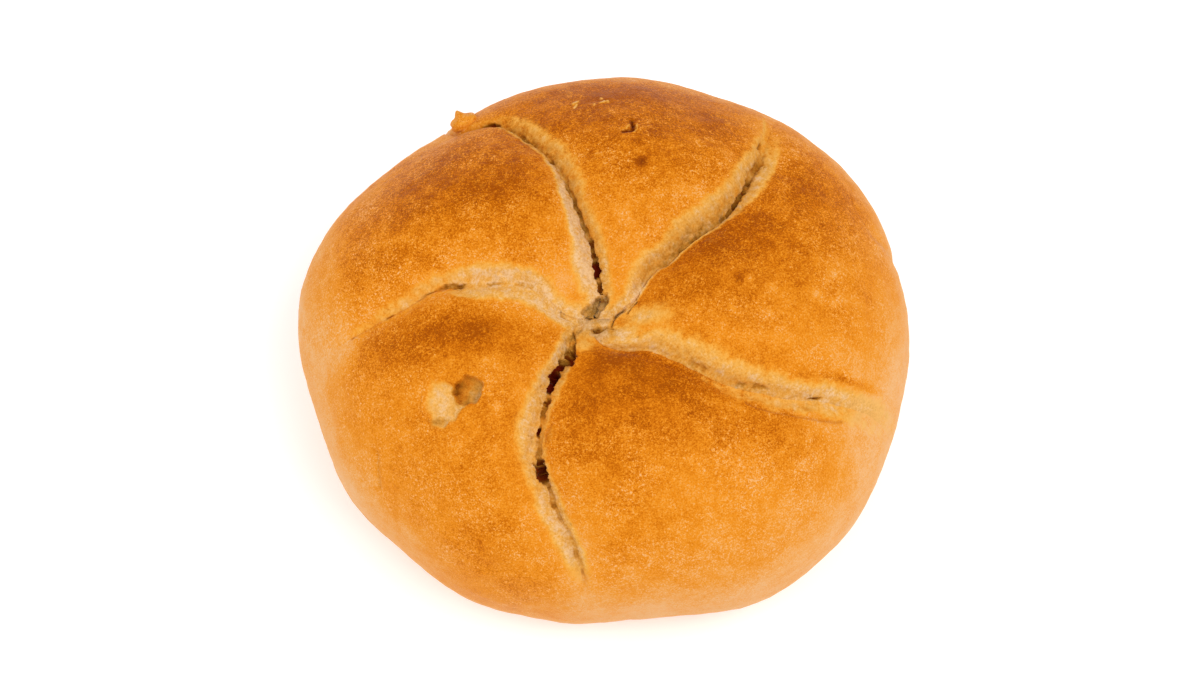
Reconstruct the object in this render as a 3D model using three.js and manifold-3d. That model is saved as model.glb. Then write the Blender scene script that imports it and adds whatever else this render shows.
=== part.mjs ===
// Kaiser roll: one baked loaf whose crown is parted into five petals by curved grooves
// that wind out of a dimple. A burst blister is open in the front left petal, and a torn
// flap of crust stands over the end of the back left groove.
// Millimetres, +Z up. The flat underside lies on z = 0, centred under the roll's box.
import * as THREE from "three";
import { mergeVertices } from "three/addons/utils/BufferGeometryUtils.js";
import Module from "manifold-3d";

// Loaf
const CROWN_HEIGHT = 48.4; // dome over the swirl, before the petals swell
const GIRTH_HEIGHT = 19; // level of the widest outline
const BASE_SHARE = 0.76; // flat underside, as a share of the outline
const CROWN_POWER = 2.25; // superellipse power of the dome
const FLANK_POWER = 2.2; // superellipse power of the side below the girth
const OUTLINE_RADIUS = 50.7; // mean, from the swirl's centre
const OUTLINE_WAVES = [
  { waves: 1, size: 5.2, crest: 62 },
  { waves: 2, size: 2, crest: 1 },
  { waves: 3, size: 0.5, crest: 175 },
  { waves: 4, size: 0.8, crest: 245 },
  { waves: 5, size: 0.45, crest: 137 },
  { waves: 6, size: 0.3, crest: 120 },
];
const LUMPS = [
  { length: 47, size: 0.45, heading: 20, phase: 40 },
  { length: 33, size: 0.35, heading: 105, phase: 200 },
  { length: 23, size: 0.2, heading: 160, phase: 310 },
];
const LUMPS_END = [1.2, 1.9]; // falls over which the lumps die out above the flat base

// Swirl. A share is a part of the outline's radius: 0 at the swirl's centre, 1 at the rim.
const DIMPLE = { depth: 2.6, radius: 13 };
const SWELL = { height: 2.4, fullness: 0.6, opens: 0.45, fades: [0.6, 1.05] };
const SHOULDER = { depth: 1.8, width: 6, roundness: 1.5, fades: [0.6, 1.08] };
const WALL = { curve: 0.8, least: 0.05, widest: 0.4 }; // widest as a part of the petal
const CLEFT = { depth: 1.6, width: 0.7 };
const GROOVE_START = { depth: 0.3, opens: 0.25 }; // part of the depth at the centre
const GROOVE_RUNOUT = 0.45; // length over which a groove grows shallow, as a share
const OVERHANG = { opens: [0.1, 0.3], reach: 3 };

// Each list runs evenly from the swirl to the rim. angles: where the groove runs, in degrees.
// before, after: width of the pale wall on that side, going counter-clockwise. lean: how far
// the crust after the groove hangs over it, or the crust before it if negative.
const GROOVES = [
  {
    name: "back_right",
    angles: [28, 43, 44, 44.5, 47.5, 50],
    before: [0.8, 1.4],
    after: [2.9, 2],
    lean: [-1.3, -0.2],
    depth: 5,
    reach: 0.96,
  },
  {
    name: "back_left",
    angles: [70, 85, 95, 99.5, 105.5, 111],
    before: [1.8, 2.4, 2],
    after: [4, 1.2, 6],
    lean: [0, 1.2, 0],
    depth: 5.5,
    reach: 1.22,
  },
  {
    name: "left",
    angles: [160, 154, 163, 172.5, 179.5, 182],
    before: [3.6, 1.8],
    after: [1, 0.8],
    lean: [0.8, 0.2],
    depth: 4.2,
    reach: 0.95,
  },
  {
    name: "front",
    angles: [210, 229, 240, 248.5, 260.5, 269],
    before: [2.6, 1.2],
    after: [0.8, 1],
    lean: [1, 0.2],
    depth: 5,
    reach: 1.02,
  },
  {
    name: "right",
    angles: [310, 332, 333.5, 337, 343.5, 347],
    before: [0.8, 1.2],
    after: [5.4, 2.5],
    lean: [-1.4, -0.3],
    depth: 4.6,
    reach: 1.02,
  },
];

// Burst blister: an oval pit with a deeper pocket at its upper end. The ends of each are
// given across the petal after the left groove and down its fall.
const BLISTER_PETAL = 2;
const BLISTER = { lower: [0.48, 0.462], upper: [0.605, 0.285], width: 6.2, depth: 2 };
const POCKET = { lower: [0.55, 0.365], upper: [0.61, 0.28], width: 4.2, depth: 3.6 };

// Torn flap that carries the back petal's rim on past the end of the back left groove.
// Its edge is given along the rim, counter-clockwise, and outwards from the smooth loaf.
const FLAP = { angle: 112, share: 0.965, rise: 45, thickness: 1.2 };
const FLAP_EDGE = [
  [-5, -5],
  [-5, -0.6],
  [0.8, 0.2],
  [4, 0.6],
  [5.2, 1.9],
  [7, 1.3],
  [7.4, 0],
  [6.6, -1.4],
  [5, -5],
];

// Facets
const WALL_STEPS = 4;
const PETAL_STEPS = 14;
const CROWN_ROWS = 30;
const FLANK_ROWS = 10;
const BASE_ROWS = 2;
const PIT_STEPS = 20;

const { degToRad, lerp, smoothstep } = THREE.MathUtils;
const QUARTER_TURN = Math.PI / 2;
const WHOLE_TURN = 360;
const UP = new THREE.Vector3(0, 0, 1);

// Cubic through values spaced evenly over shares 0 to 1, level beyond the rim.
function along(values, share) {
  const last = values.length - 1;
  const place = Math.min(share, 1) * last;
  const i = Math.min(Math.floor(place), last - 1);
  const t = place - i;
  const [a, b, c, d] = [i - 1, i, i + 1, i + 2].map(
    (k) => values[Math.min(Math.max(k, 0), last)],
  );
  const slopeIn = (c - a) / 2;
  const slopeOut = (d - b) / 2;
  return (
    b +
    slopeIn * t +
    (3 * (c - b) - 2 * slopeIn - slopeOut) * t * t +
    (2 * (b - c) + slopeIn + slopeOut) * t * t * t
  );
}

// Plan radius of the loaf's outline in the direction of angle, from the swirl's centre.
function outlineRadius(angle) {
  return OUTLINE_WAVES.reduce(
    (sum, { waves, size, crest }) => sum + size * Math.cos(waves * angle - degToRad(crest)),
    OUTLINE_RADIUS,
  );
}

// Gentle unevenness of the dough at a plan position.
function lumps(x, y) {
  return LUMPS.reduce((sum, { length, size, heading, phase }) => {
    const way = x * Math.cos(degToRad(heading)) + y * Math.sin(degToRad(heading));
    return sum + size * Math.sin((2 * Math.PI * way) / length + degToRad(phase));
  }, 0);
}

// Share, height, and outward normal's radial and vertical parts on the smooth loaf.
// fall is 0 at the crown's middle, 1 at the girth, 2 at the base's edge.
function profile(fall) {
  const drop = CROWN_HEIGHT - GIRTH_HEIGHT;
  const turn = (fall <= 1 ? fall : fall - 1) * QUARTER_TURN;
  if (fall <= 1) {
    const normal = new THREE.Vector2(drop * Math.sin(turn), OUTLINE_RADIUS * Math.cos(turn));
    normal.normalize();
    return {
      share: Math.sin(turn) ** (2 / CROWN_POWER),
      height: GIRTH_HEIGHT + drop * Math.cos(turn) ** (2 / CROWN_POWER),
      normal,
    };
  }
  return {
    share: lerp(BASE_SHARE, 1, Math.cos(turn) ** (2 / FLANK_POWER)),
    height: GIRTH_HEIGHT * (1 - Math.sin(turn) ** (2 / FLANK_POWER)),
    normal: new THREE.Vector2(Math.cos(turn), -Math.sin(turn)),
  };
}

// The two grooves of a petal at one fall, with the petal's width and its walls' widths.
function petalAt(petal, fall) {
  const { share } = profile(fall);
  const shareDown = fall <= 1 ? share : fall; // keeps growing past the girth
  const before = GROOVES[petal];
  const after = GROOVES[(petal + 1) % GROOVES.length];
  const from = along(before.angles, shareDown);
  const to = along(after.angles, shareDown) + (petal + 1 < GROOVES.length ? 0 : WHOLE_TURN);
  const middle = degToRad((from + to) / 2);
  const width = share * outlineRadius(middle) * degToRad(to - from);
  const widest = Math.max(WALL.widest * width, WALL.least);
  return {
    share: shareDown,
    before,
    after,
    from,
    to,
    width,
    nearWall: Math.min(along(before.after, shareDown), widest),
    farWall: Math.min(along(after.before, shareDown), widest),
  };
}

// How deep one side of a groove cuts at a distance from its line, and how far it hangs over.
function grooveSide(groove, share, wall, distance, lean) {
  const fade = 1 - smoothstep(share, groove.reach - GROOVE_RUNOUT, groove.reach);
  const start = lerp(GROOVE_START.depth, 1, smoothstep(share, 0, GROOVE_START.opens));
  const valley = 1 - smoothstep(share, ...SHOULDER.fades);
  const shoulder = valley * Math.exp(-((distance / SHOULDER.width) ** SHOULDER.roundness));
  const slope = fade * start * Math.max(1 - distance / wall, 0) ** WALL.curve;
  const cleft = fade * start * Math.exp(-((distance / CLEFT.width) ** 2));
  const past = Math.max(distance - wall, 0) / OVERHANG.reach;
  const lip = Math.min(distance / wall, 1) * Math.exp(-past * past);
  return {
    drop: SHOULDER.depth * shoulder + groove.depth * slope + CLEFT.depth * cleft,
    hang: Math.max(lean, 0) * lip * fade * smoothstep(share, ...OVERHANG.opens),
  };
}

// Point of the loaf: petal and across (0 to 1) place it between two grooves, fall as in profile.
function loafPoint(petal, across, fall) {
  const { share, height, normal } = profile(fall);
  const at = petalAt(petal, fall);
  const angle = degToRad(lerp(at.from, at.to, across));
  const radius = share * outlineRadius(angle);
  const nearLean = along(at.before.lean, at.share);
  const farLean = -along(at.after.lean, at.share);
  const near = grooveSide(at.before, at.share, at.nearWall, across * at.width, nearLean);
  const far = grooveSide(at.after, at.share, at.farWall, (1 - across) * at.width, farLean);

  const open = smoothstep(at.share, 0, SWELL.opens) * (1 - smoothstep(at.share, ...SWELL.fades));
  const swell = SWELL.height * open * (4 * across * (1 - across)) ** SWELL.fullness;
  const dimple = fall < 1 ? DIMPLE.depth * Math.exp(-((radius / DIMPLE.radius) ** 2)) : 0;
  const uneven = 1 - smoothstep(fall, ...LUMPS_END);
  const bumps = uneven * lumps(radius * Math.cos(angle), radius * Math.sin(angle));
  const out = swell + bumps - dimple - Math.max(near.drop, far.drop);
  const aside = far.hang - near.hang; // towards the overhung groove
  const reach = radius + out * normal.x;
  return new THREE.Vector3(
    reach * Math.cos(angle) - aside * Math.sin(angle),
    reach * Math.sin(angle) + aside * Math.cos(angle),
    Math.max(height + out * normal.y, 0),
  );
}

// Place across a petal of one of its steps, so that a row of facets follows each wall's crest.
function acrossAt(petal, step, fall) {
  const { width, nearWall, farWall } = petalAt(petal, fall);
  const near = nearWall / Math.max(width, nearWall / WALL.widest);
  const far = farWall / Math.max(width, farWall / WALL.widest);
  if (step <= WALL_STEPS) return (near * step) / WALL_STEPS;
  const beyond = step - WALL_STEPS;
  if (beyond <= PETAL_STEPS) return lerp(near, 1 - far, beyond / PETAL_STEPS);
  return 1 - far + (far * (beyond - PETAL_STEPS)) / WALL_STEPS;
}

// The grid of a sphere, moved onto the loaf's surface row by row.
function loafGeometry() {
  const steps = PETAL_STEPS + 2 * WALL_STEPS;
  const columns = GROOVES.length * steps;
  const rows = CROWN_ROWS + FLANK_ROWS + BASE_ROWS;
  const geometry = new THREE.SphereGeometry(1, columns, rows);
  const { position, uv } = geometry.attributes;
  for (let i = 0; i < position.count; i++) {
    const row = Math.round((1 - uv.getY(i)) * rows);
    const pole = row === 0;
    const column = pole ? 0 : Math.max(Math.round(uv.getX(i) * columns), 0) % columns;
    const petal = Math.floor(column / steps);
    const down = Math.min(row / CROWN_ROWS, 1) + Math.max((row - CROWN_ROWS) / FLANK_ROWS, 0);
    const fall = Math.min(down, 2);
    const inward = Math.max((row - CROWN_ROWS - FLANK_ROWS) / BASE_ROWS, 0);
    const point = loafPoint(petal, acrossAt(petal, column % steps, fall), fall);
    position.setXYZ(i, point.x * (1 - inward), point.y * (1 - inward), point.z);
  }
  return geometry;
}

// Ellipsoid sunk into the crown between two places on the blistered petal.
function pitGeometry({ lower, upper, width, depth }) {
  const [start, end] = [lower, upper].map((place) => loafPoint(BLISTER_PETAL, ...place));
  const long = end.clone().sub(start);
  const length = long.length();
  const side = UP.clone().cross(long).normalize();
  const deep = long.clone().cross(side).normalize();
  const geometry = new THREE.SphereGeometry(1, PIT_STEPS, PIT_STEPS / 2);
  geometry.scale(length / 2, width / 2, depth);
  const frame = new THREE.Matrix4().makeBasis(long.normalize(), side, deep);
  frame.setPosition(start.lerp(end, 1 / 2));
  return geometry.applyMatrix4(frame);
}

// Torn plate of crust that follows the rim and leans out over it.
function flapGeometry() {
  const direction = degToRad(FLAP.angle);
  const radial = new THREE.Vector3(Math.cos(direction), Math.sin(direction), 0);
  const rim = UP.clone().cross(radial);
  const rise = degToRad(FLAP.rise);
  const upward = radial.clone().multiplyScalar(Math.cos(rise)).addScaledVector(UP, Math.sin(rise));
  const shape = new THREE.Shape(FLAP_EDGE.map(([x, y]) => new THREE.Vector2(x, y)));
  const geometry = new THREE.ExtrudeGeometry(shape, {
    depth: FLAP.thickness,
    bevelEnabled: false,
  });
  const turn = Math.asin(FLAP.share ** (CROWN_POWER / 2));
  const { height } = profile(turn / QUARTER_TURN);
  const frame = new THREE.Matrix4().makeBasis(rim, upward, rim.clone().cross(upward));
  frame.setPosition(radial.multiplyScalar(FLAP.share * outlineRadius(direction)).setZ(height));
  return geometry.applyMatrix4(frame);
}

const wasm = await Module();
wasm.setup();

// A closed geometry as a solid that can be joined and cut.
function solidOf(geometry) {
  geometry.deleteAttribute("normal");
  geometry.deleteAttribute("uv");
  const merged = mergeVertices(geometry, 1e-5);
  return new wasm.Manifold(
    new wasm.Mesh({
      numProp: 3,
      vertProperties: new Float32Array(merged.attributes.position.array),
      triVerts: new Uint32Array(merged.index.array),
    }),
  );
}

// The solid back as a geometry, with its box centred over the origin and its base on z = 0.
function standing(solid) {
  const { vertProperties, triVerts } = solid.getMesh();
  const geometry = new THREE.BufferGeometry();
  geometry.setAttribute("position", new THREE.BufferAttribute(vertProperties, 3));
  geometry.setIndex(new THREE.BufferAttribute(triVerts, 1));
  geometry.computeBoundingBox();
  const middle = geometry.boundingBox.getCenter(new THREE.Vector3());
  geometry.translate(-middle.x, -middle.y, -geometry.boundingBox.min.z);
  geometry.computeVertexNormals();
  return geometry;
}

const crust = new THREE.MeshStandardMaterial({
  name: "crust",
  color: new THREE.Color(0.86, 0.52, 0.17),
  roughness: 0.55,
  metalness: 0,
});

const loaf = solidOf(loafGeometry())
  .add(solidOf(flapGeometry()))
  .subtract(solidOf(pitGeometry(BLISTER)))
  .subtract(solidOf(pitGeometry(POCKET)));

const roll = new THREE.Mesh(standing(loaf), crust);
roll.name = "roll";

const kaiserRoll = new THREE.Group();
kaiserRoll.add(roll);

export default kaiserRoll;
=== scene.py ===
"""Looks of the Kaiser roll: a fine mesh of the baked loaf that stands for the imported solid.

The loaf is worked out in millimetres about the swirl's centre, then moved onto the frame.
"""

import math

import bmesh
import bpy
import numpy as np
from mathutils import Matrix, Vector, noise


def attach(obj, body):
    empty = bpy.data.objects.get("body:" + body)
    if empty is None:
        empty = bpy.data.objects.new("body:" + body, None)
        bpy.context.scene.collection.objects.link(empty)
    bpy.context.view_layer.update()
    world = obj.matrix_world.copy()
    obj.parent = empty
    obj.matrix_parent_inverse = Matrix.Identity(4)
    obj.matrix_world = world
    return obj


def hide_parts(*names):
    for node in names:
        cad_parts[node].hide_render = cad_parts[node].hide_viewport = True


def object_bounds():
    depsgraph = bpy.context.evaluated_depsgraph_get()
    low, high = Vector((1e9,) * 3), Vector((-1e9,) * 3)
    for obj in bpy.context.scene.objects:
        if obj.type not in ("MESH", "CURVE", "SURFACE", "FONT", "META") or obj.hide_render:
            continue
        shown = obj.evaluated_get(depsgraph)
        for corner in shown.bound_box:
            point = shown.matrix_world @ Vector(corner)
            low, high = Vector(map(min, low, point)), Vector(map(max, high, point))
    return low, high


MM = 0.001

# Loaf
CROWN_HEIGHT = 48.4
GIRTH_HEIGHT = 19.0
BASE_SHARE = 0.76
CROWN_POWER = 2.25
FLANK_POWER = 2.2
OUTLINE_RADIUS = 50.7
# Count round the outline, size and crest
OUTLINE_WAVES = [(1, 5.2, 62), (2, 2, 1), (3, 0.5, 175), (4, 0.8, 245), (5, 0.45, 137), (6, 0.3, 120)]
# Length, size, heading and phase
LUMPS = [(47, 0.45, 20, 40), (33, 0.35, 105, 200), (23, 0.2, 160, 310)]
LUMPS_END = (1.2, 1.9)

# Swirl. A share is a part of the outline's radius: 0 at the swirl's centre, 1 at the rim.
DIMPLE = {"depth": 2.6, "radius": 13.0}
SWELL = {"height": 2.4, "fullness": 0.6, "foot": 1.5, "opens": 0.45, "fades": (0.6, 1.05)}
SHOULDER_ROUNDNESS = 1.6
LEAST_WALL = 0.05

# Each list runs evenly from the swirl to the rim. floor is the crease's depth under the whole
# loaf's surface. On the side before and after the crease, step is the height of the torn wall,
# wall its width, curve its hollowness, round the width of the petal's shoulder over it, pale its
# tone, soft how far that runs out past it, shade how dark painted shade makes it next to the
# crease, and edge_bake how much more the crust over it is baked.
GROOVES = {
    "back_right": {
        "angles": [-20, 14, 36.9, 38.7, 40.3, 40.4, 42.7, 45.7, 49, 52.3, 54],
        "floor": [1, 2.3, 2.4, 2.5, 2, 0], "end": (0.76, 0.95),
        "before": {
            "step": [0.3, 0.4, 0.5, 0.5, 0.5, 0.5, 0.5, 0.5, 0.4, 0.2, 0],
            "wall": [0.5, 0.3, 0.15, 0.15, 0.15, 0.15, 1.6, 2.6, 2.5, 1.6, 1],
            "pale": [0.5, 0.7, 0.8, 0.8, 0.8, 0.8, 0.74, 0.78, 0.72, 0.5, 0.2],
            "soft": [0.3, 0.35, 0.4, 0.6, 0.8, 0.8], "shade": [0, 0.05, 0.05, 0.2, 0.2, 0],
            "shade_width": 0.6, "curve": 0.9, "round": 6.5, "edge_bake": 0.06,
        },
        "after": {
            "step": [0.3, 0.9, 1.1, 1.3, 0.9, 0], "wall": [1, 2.4, 3.1, 3, 1.6, 1],
            "pale": [0.85, 0.74, 0.7, 0.74, 0.7, 0.2], "soft": [1.5, 1.2, 1.1, 1, 0.8, 1],
            "shade": [0.12, 0.24, 0.45, 0.22, 0.15, 0], "shade_width": 1.9, "curve": 1.2, "round": 6,
            "edge_bake": -0.08,
        },
    },
    "back_left": {
        "angles": [
            55, 66.5, 78, 86, 90.2, 92.6, 95.7, 97.8, 99.7, 101, 101.9, 103, 104.6, 106.2, 107.8, 109.4,
            111, 113.8, 120.8, 122.2, 122.5,
        ],
        "floor": [1, 2.1, 1.7, 1.3, 1.2, 1.5], "end": (0.92, 1.03),
        "before": {
            "step": [0.3, 0.7, 0.8, 0.8, 0.9, 1.3], "wall": [1, 1.2, 1.4, 2, 1.8, 1],
            "pale": [0.7, 0.74, 0.6, 0.58, 0.45, 0], "soft": [1.3, 1.3, 1.3, 1.3, 1.3, 1],
            "shade": [0.15, 0.16, 0.22, 0.26, 0.25, 0.1], "shade_width": 1.4, "curve": 1.2, "round": 7,
            "edge_bake": -0.08,
        },
        "after": {
            "step": [0.3, 1.2, 0.7, 0.3, 0.3, 1.3], "wall": [1, 3.1, 1.7, 0.8, 0.5, 0.5],
            "pale": [0.85, 1, 1, 0.82, 0.65, 0.1], "soft": [3, 1.2, 0.7, 0.5, 0.4, 0.4],
            "shade": [0.1, 0.1, 0.1, 0.1, 0.15, 0.1], "shade_width": 0.8, "curve": 1.1, "round": 6,
            "edge_bake": -0.06,
        },
    },
    "left": {
        "angles": [195, 176, 153.8, 157.3, 162.3, 167.5, 173.2, 177.5, 180.8, 182.5, 183],
        "floor": [0.7, 0.9, 0.9, 1.2, 0.9, 0], "end": (0.7, 0.97),
        "before": {
            "step": [0.2, 0.2, 0.25, 0.25, 0.15, 0],
            "wall": [
                1, 1, 1, 1.1, 1.3, 1.5, 1.7, 1.9, 2, 1.8, 1.5, 1.5, 1.4, 1.3, 1.1, 0.9, 0.7, 0.6, 0.5,
                0.5, 0.5,
            ],
            "pale": [
                0.8, 0.84, 0.87, 0.88, 0.9, 0.9, 0.9, 0.89, 0.86, 0.8, 0.66, 0.66, 0.63, 0.6, 0.56, 0.5,
                0.42, 0.32, 0.25, 0.2, 0.2,
            ],
            "soft": [3, 1.3, 1.4, 1, 1, 1], "shade": [0, 0.05, 0.05, 0.03, 0, 0], "shade_width": 0.9,
            "curve": 1.3, "round": 6, "edge_bake": -0.08,
        },
        "after": {
            "step": [0.1, 0.1, 0.1, 0.1, 0.25, 0.35, 0.3, 0.3, 0.2, 0.2, 0],
            "wall": [
                1, 1.3, 1.7, 2, 2.4, 2.7, 2.9, 2.9, 2.8, 2.2, 0.6, 0.6, 0.5, 0.5, 0.5, 0.5, 0.5, 0.5,
                0.5, 0.5, 0.5,
            ],
            "pale": [
                0.8, 0.84, 0.86, 0.86, 0.84, 0.83, 0.82, 0.8, 0.78, 0.7, 0.3, 0.3, 0.3, 0.3, 0.3, 0.25,
                0.25, 0.25, 0.2, 0.2, 0.2,
            ],
            "soft": [1.5, 1.2, 0.6, 0.5, 0.5, 0.5], "shade": [0, 0.05, 0.05, 0.03, 0, 0],
            "shade_width": 0.9, "curve": 1.2, "round": 5, "edge_bake": -0.12,
        },
    },
    "front": {
        "angles": [205, 220, 235, 237.8, 241.3, 244.8, 249, 255.4, 261, 265.8, 268.5],
        "floor": [1, 1.9, 2, 1.9, 1.7, 1.1], "end": (0.9, 0.985),
        "before": {
            "step": [0.3, 0.8, 0.8, 0.7, 0.6, 0.4],
            "wall": [0.8, 1.2, 1.6, 1.9, 2.2, 2.4, 2.3, 2, 2, 1.6, 0.9],
            "pale": [0.6, 0.75, 0.86, 0.84, 0.8, 0.8, 0.74, 0.78, 0.86, 0.88, 0.7],
            "soft": [0.8, 0.8, 1.1, 1.5, 1.3, 1.2], "shade": [0.26, 0.3, 0.07, 0.04, 0.08, 0.12],
            "shade_width": 1.2, "curve": 0.9, "round": 6, "edge_bake": -0.08,
        },
        "after": {
            "step": [0.3, 0.5, 0.5, 0.5, 0.5, 0.4],
            "wall": [0.6, 0.8, 1, 1.5, 1.4, 1.1, 1.2, 1.3, 1.3, 1.1, 0.8],
            "pale": [0.75, 0.75, 0.6, 0.62, 0.6, 0.6, 0.72, 0.78, 0.8, 0.75, 0.6],
            "soft": [0.6, 0.5, 0.5, 0.6, 0.8, 0.9], "shade": [0.3, 0.46, 0.18, 0.15, 0.15, 0.15],
            "shade_width": 1, "curve": 0.9, "round": 6, "edge_bake": -0.06,
        },
    },
    "right": {
        "angles": [240, 278, 321, 328.3, 330, 332.7, 335.7, 339.2, 342.6, 344.6, 345],
        "floor": [0.8, 1.9, 1.9, 1.8, 1.2, 0.2], "end": (0.93, 1.06),
        "before": {
            "step": [0.2, 0, 0, 0.1, 0.1, 0.1], "wall": [0.5, 0.3, 0.4, 1.3, 1.6, 1.4],
            "pale": [0.3, 0.15, 0.25, 0.6, 0.7, 0.2], "soft": [0.5, 0.5, 0.7, 1, 1.2, 1.6],
            "shade": [0, 0, 0, 0, 0, 0], "shade_width": 1, "curve": 1, "round": 6, "edge_bake": 0,
        },
        "after": {
            "step": [0.3, 0.9, 1, 0.9, 0.7, 0.3], "wall": [1.5, 3, 2.8, 2.2, 1.8, 1.4],
            "pale": [0.86, 0.76, 0.72, 0.78, 0.88, 0.55], "soft": [2.5, 1.8, 2.2, 2, 1.8, 2.2],
            "shade": [0.1, 0.12, 0.13, 0.1, 0.06, 0], "shade_width": 1.5, "curve": 1.4, "round": 7,
            "edge_bake": -0.1,
        },
    },
}
SIDES = ("before", "after")
LIST_KEYS = ("step", "wall", "pale", "soft", "shade")
FIXED_KEYS = ("curve", "round", "shade_width")
FADING_KEYS = ("step", "pale", "shade")

# Torn holes along the creases: the shares they run between, how far past the crease they lie, half
# their width, their depth, how dark their painted shade is and how much they break up into dashes
CRACK_KEYS = ("span", "offset", "half", "depth", "dark", "dashed")
CRACK_ROWS = {
    "front": [
        ((0.13, 0.185), 0.8, 0.5, 0.8, 0.75, 0), ((0.17, 0.222), 0.8, 0.85, 1.3, 0.95, 0),
        ((0.215, 0.3), -0.3, 0.5, 1.5, 1, 0), ((0.27, 0.35), 0.2, 0.45, 1.6, 1, 0),
        ((0.37, 0.405), 0.4, 0.45, 0.7, 0.8, 0), ((0.4, 0.45), 0.2, 0.4, 0.5, 0.62, 0.2),
        ((0.485, 0.515), -0.1, 0.22, 1, 1, 0), ((0.52, 0.59), 0.1, 0.4, 0.3, 0.4, 0.4),
        ((0.52, 0.545), -1.1, 0.3, 0.3, 0.4, 0.3), ((0.595, 0.65), 0.3, 0.55, 1.2, 0.82, 0),
        ((0.615, 0.67), -0.15, 0.8, 1.3, 0.9, 0), ((0.675, 0.78), 0.1, 0.42, 0.5, 0.42, 0.5),
        ((0.77, 0.96), 0.1, 0.36, 0.4, 0.38, 0.7),
    ],
    "back_left": [
        ((0.085, 0.13), 0.1, 0.36, 0.9, 0.75, 0.2), ((0.14, 0.2), 0.1, 0.42, 1.5, 1, 0),
        ((0.2, 0.27), 0, 0.35, 0.8, 0.75, 0.3), ((0.27, 0.5), 0, 0.32, 0.5, 0.5, 0.3),
        ((0.5, 0.83), 0, 0.32, 0.4, 0.52, 0.6), ((0.845, 0.87), 0, 0.6, 0.9, 0.85, 0),
    ],
    "back_right": [
        ((0.515, 0.6), 0, 0.26, 0.8, 0.75, 0.3), ((0.585, 0.7), 0.1, 0.36, 0.9, 0.8, 0.25),
        ((0.665, 0.8), 0.1, 0.65, 0.5, 0.42, 0.4),
    ],
    "left": [
        ((0.1, 0.2), 0.2, 0.5, 0.3, 0.24, 0.9), ((0.2, 0.33), 0.2, 0.3, 0.2, 0.2, 0.9),
        ((0.32, 0.37), 0.2, 0.25, 0.4, 0.36, 0.5), ((0.44, 0.475), 0.3, 0.4, 0.6, 0.66, 0.5),
        ((0.465, 0.51), -0.2, 0.4, 0.6, 0.66, 0.4), ((0.5, 0.6), -0.1, 0.2, 0.3, 0.4, 0.5),
        ((0.6, 0.83), 0, 0.17, 0.3, 0.36, 0.8),
    ],
    "right": [
        ((0.33, 0.38), 0.9, 0.45, 0.3, 0.28, 0.6), ((0.38, 0.45), 0.8, 0.45, 0.3, 0.32, 0.7),
        ((0.48, 0.6), 0.9, 0.4, 0.4, 0.4, 0.6), ((0.735, 0.765), 0.3, 0.22, 0.5, 0.8, 0),
    ],
}
CRACKS = [
    dict(zip(CRACK_KEYS, row), groove=list(GROOVES).index(name))
    for name, rows in CRACK_ROWS.items()
    for row in rows
]
CRACK_EASE = 0.012
DASH = {"length": 1.3, "from": -0.1, "to": 0.25}

# Grid
STEPS = 76
CROWDING = 1.65  # how strongly columns crowd towards the grooves
BASE_EDGE = (0, 0.25)  # how far in the flank's looks turn into the underside's
CENTRE = {"share": 0.12, "rows": 30}
CROWN_ROWS = 160
FLANK_ROWS = 24
BASE_ROWS = 8
COLUMNS = len(GROOVES) * STEPS
CROWN_THINNING = [(0.07, 2), (0.03, 4)]  # below a share, every so many columns
BASE_THINNING = [(0.5, 2), (0.25, 4)]

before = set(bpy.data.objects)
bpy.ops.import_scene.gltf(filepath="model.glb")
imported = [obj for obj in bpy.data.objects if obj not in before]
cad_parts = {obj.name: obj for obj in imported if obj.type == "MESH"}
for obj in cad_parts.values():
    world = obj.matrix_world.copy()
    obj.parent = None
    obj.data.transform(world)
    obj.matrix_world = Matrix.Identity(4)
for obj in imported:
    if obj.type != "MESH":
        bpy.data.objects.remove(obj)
cad_low, cad_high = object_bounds()


def smoothstep(value, low, high):
    part = np.clip((value - low) / (high - low), 0, 1)
    return part * part * (3 - 2 * part)


def lerp(start, end, part):
    return start + (end - start) * part


def bell(distance, width, power=2):
    return np.exp(-(np.abs(distance / width) ** power))


def along(values, share):
    """Cubic through values spaced evenly over shares 0 to 1, level beyond the rim."""
    values = np.asarray(values, float)
    last = len(values) - 1
    place = np.clip(share, 0, 1) * last
    i = np.minimum(place.astype(int), last - 1)
    t = place - i
    a, b, c, d = (values[np.clip(i + k, 0, last)] for k in (-1, 0, 1, 2))
    slope_in = (c - a) / 2
    slope_out = (d - b) / 2
    square = 3 * (c - b) - 2 * slope_in - slope_out
    cube = 2 * (b - c) + slope_in + slope_out
    return b + slope_in * t + square * t**2 + cube * t**3


def outline_radius(angle):
    radius = np.full_like(angle, OUTLINE_RADIUS)
    for count, size, crest in OUTLINE_WAVES:
        radius += size * np.cos(count * angle - math.radians(crest))
    return radius


def lumps(x, y):
    total = np.zeros_like(x)
    for length, size, heading, phase in LUMPS:
        turn = math.radians(heading)
        way = x * math.cos(turn) + y * math.sin(turn)
        total += size * np.sin(2 * math.pi * way / length + math.radians(phase))
    return total


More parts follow.
